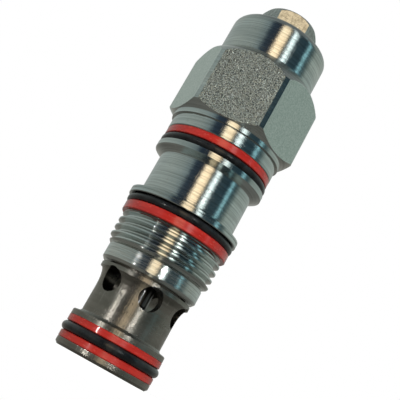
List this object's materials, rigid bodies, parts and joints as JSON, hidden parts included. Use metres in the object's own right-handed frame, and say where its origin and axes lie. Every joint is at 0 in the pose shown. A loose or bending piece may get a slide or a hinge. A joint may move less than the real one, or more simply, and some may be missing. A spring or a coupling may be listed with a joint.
{
  "type": "cartridge valve",
  "caption": "Screw-in load-holding cartridge valve: hex body with external thread and sealed lands, floating ported nose, check poppet, spring-loaded relief piston and locked adjusting screw.",
  "frame": {"origin": "centre of the seating face under the hexagon, on the valve's axis", "axes": "+Z along the valve's axis towards the adjusting screw; -Y is the side the camera sees; +X to its right"},
  "size_m": [0.0318, 0.031, 0.0947],
  "materials": {
    "zinc_plate": "bright zinc plate, turned",
    "dark_steel": "dark oxide, semi-gloss",
    "plain_steel": "ground",
    "spring_steel": "oiled wire",
    "red_backup": "smooth moulded",
    "black_rubber": "oiled nitrile"
  },
  "bodies": {
    "valve_body": {"hex_body": "zinc_plate", "guide_bush": "plain_steel", "bush_oring": "black_rubber", "piston_oring": "black_rubber", "piston_backup_ring": "red_backup", "upper_backup_ring": "red_backup", "upper_oring": "black_rubber", "middle_oring": "black_rubber", "middle_backup_ring": "red_backup", "sleeve_retaining_ring": "spring_steel"},
    "nose": {"nose_sleeve": "dark_steel", "sleeve_oring": "black_rubber", "nose_backup_ring_upper": "red_backup", "nose_oring": "black_rubber", "nose_backup_ring_lower": "red_backup", "check_spring": "spring_steel", "check_spring_retainer": "plain_steel", "retainer_snap_ring": "spring_steel"},
    "check_poppet": {"check_poppet": "plain_steel"},
    "relief_piston": {"relief_piston": "plain_steel", "lower_spring_seat": "plain_steel", "main_spring": "spring_steel"},
    "upper_spring_seat": {"upper_spring_seat": "plain_steel"},
    "adjusting_screw": {"adjusting_screw": "zinc_plate", "screw_oring": "black_rubber"},
    "locknut_seal": {"locknut_seal": "black_rubber"},
    "locknut": {"locknut": "zinc_plate"}
  },
  "joints": [
    {"name": "nose_float", "type": "hinge", "parent": "valve_body", "child": "nose", "pos_m": [0, 0, -0.0355], "axis": [1, 0, 0], "range_deg": [-1.5, 1.5]},
    {"name": "check_poppet_slide", "type": "slide", "parent": "nose", "child": "check_poppet", "axis": [0, 0, -1], "range_m": [0, 0.0025], "stiffness_N_per_m": 900, "springref_m": -0.0015, "deforming": ["check_spring"]},
    {"name": "relief_piston_slide", "type": "slide", "parent": "valve_body", "child": "relief_piston", "axis": [0, 0, 1], "range_m": [0, 0.0022], "stiffness_N_per_m": 60000, "springref_m": -0.004, "deforming": ["main_spring"]},
    {"name": "spring_seat_slide", "type": "slide", "parent": "valve_body", "child": "upper_spring_seat", "axis": [0, 0, 1], "range_m": [-0.00198, 0.00198], "deforming": ["main_spring"]},
    {"name": "adjusting_screw_turn", "type": "hinge", "parent": "upper_spring_seat", "child": "adjusting_screw", "pos_m": [0, 0, 0.03], "axis": [0, 0, -1], "range_deg": [-675, 675]},
    {"name": "locknut_lift", "type": "slide", "parent": "valve_body", "child": "locknut_seal", "axis": [0, 0, 1], "range_m": [0, 0.00212]},
    {"name": "locknut_turn", "type": "hinge", "parent": "locknut_seal", "child": "locknut", "pos_m": [0, 0, 0.033], "axis": [0, 0, 1], "range_deg": [0, 720]}
  ],
  "couplings": [
    {"joint": "adjusting_screw_turn", "follows": "spring_seat_slide", "rad_per_m": -5938.7},
    {"joint": "locknut_turn", "follows": "locknut_lift", "rad_per_m": 5938.7}
  ]
}
